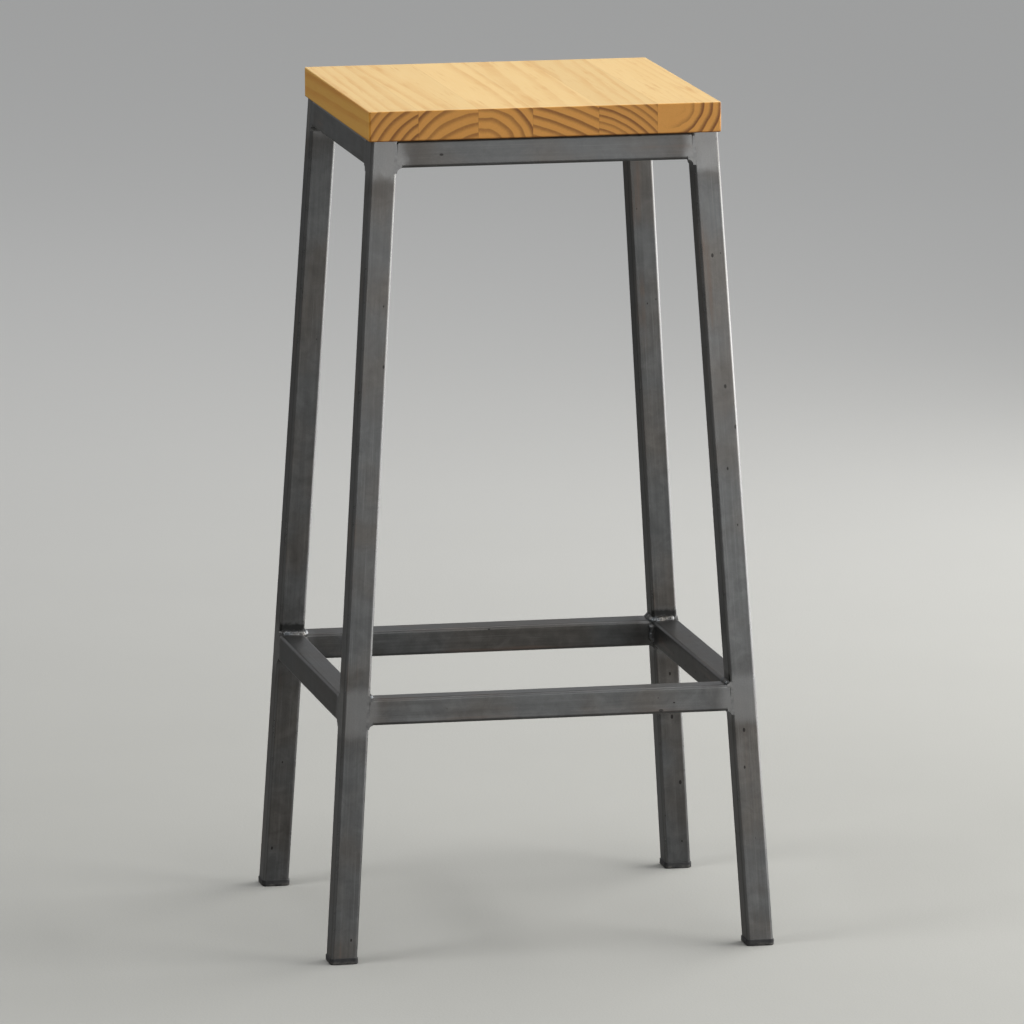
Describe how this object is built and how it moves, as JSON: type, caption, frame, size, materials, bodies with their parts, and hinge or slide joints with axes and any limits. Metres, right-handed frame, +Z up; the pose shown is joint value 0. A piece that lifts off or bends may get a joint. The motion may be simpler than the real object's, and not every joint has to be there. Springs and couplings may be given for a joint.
{
  "type": "bar stool with footrest",
  "caption": "Backless bar stool: a square edge-glued pine seat on a splayed, welded frame of square steel tube, with a footrest ring and black foot caps.",
  "frame": {"origin": "on the floor, under the middle of the seat", "axes": "+Z up, the front faces -Y and +X is to the right, the grain of the seat runs along Y"},
  "size_m": [0.421, 0.3844, 0.79],
  "materials": {
    "pine": "clear satin lacquer over pale pine, amber on the end grain",
    "steel": "raw mild steel with mill scale under a clear coat",
    "weld": "bare weld metal, ground where it is flush, heat-tinted beside it",
    "cap": "moulded black polyethylene",
    "screw": "bright zinc plate"
  },
  "bodies": {
    "root": {"corner_plate_back_left": "steel", "corner_plate_back_right": "steel", "corner_plate_front_left": "steel", "corner_plate_front_right": "steel", "foot_cap_back_left": "cap", "foot_cap_back_right": "cap", "foot_cap_front_left": "cap", "foot_cap_front_right": "cap", "footrest_rail_back": "steel", "footrest_rail_front": "steel", "footrest_rail_left": "steel", "footrest_rail_right": "steel", "leg_back_left": "steel", "leg_back_right": "steel", "leg_front_left": "steel", "leg_front_right": "steel", "seat_screws": "screw", "seat_stave_1": "pine", "seat_stave_2": "pine", "seat_stave_3": "pine", "seat_stave_4": "pine", "seat_stave_5": "pine", "seat_stave_6": "pine", "top_rail_back": "steel", "top_rail_front": "steel", "top_rail_left": "steel", "top_rail_right": "steel", "weld_corner_plates": "weld", "weld_footrest_back_left": "weld", "weld_footrest_back_right": "weld", "weld_footrest_front_left": "weld", "weld_footrest_front_right": "weld", "weld_top_back_left": "weld", "weld_top_back_right": "weld", "weld_top_front_left": "weld", "weld_top_front_right": "weld"}
  },
  "joints": []
}
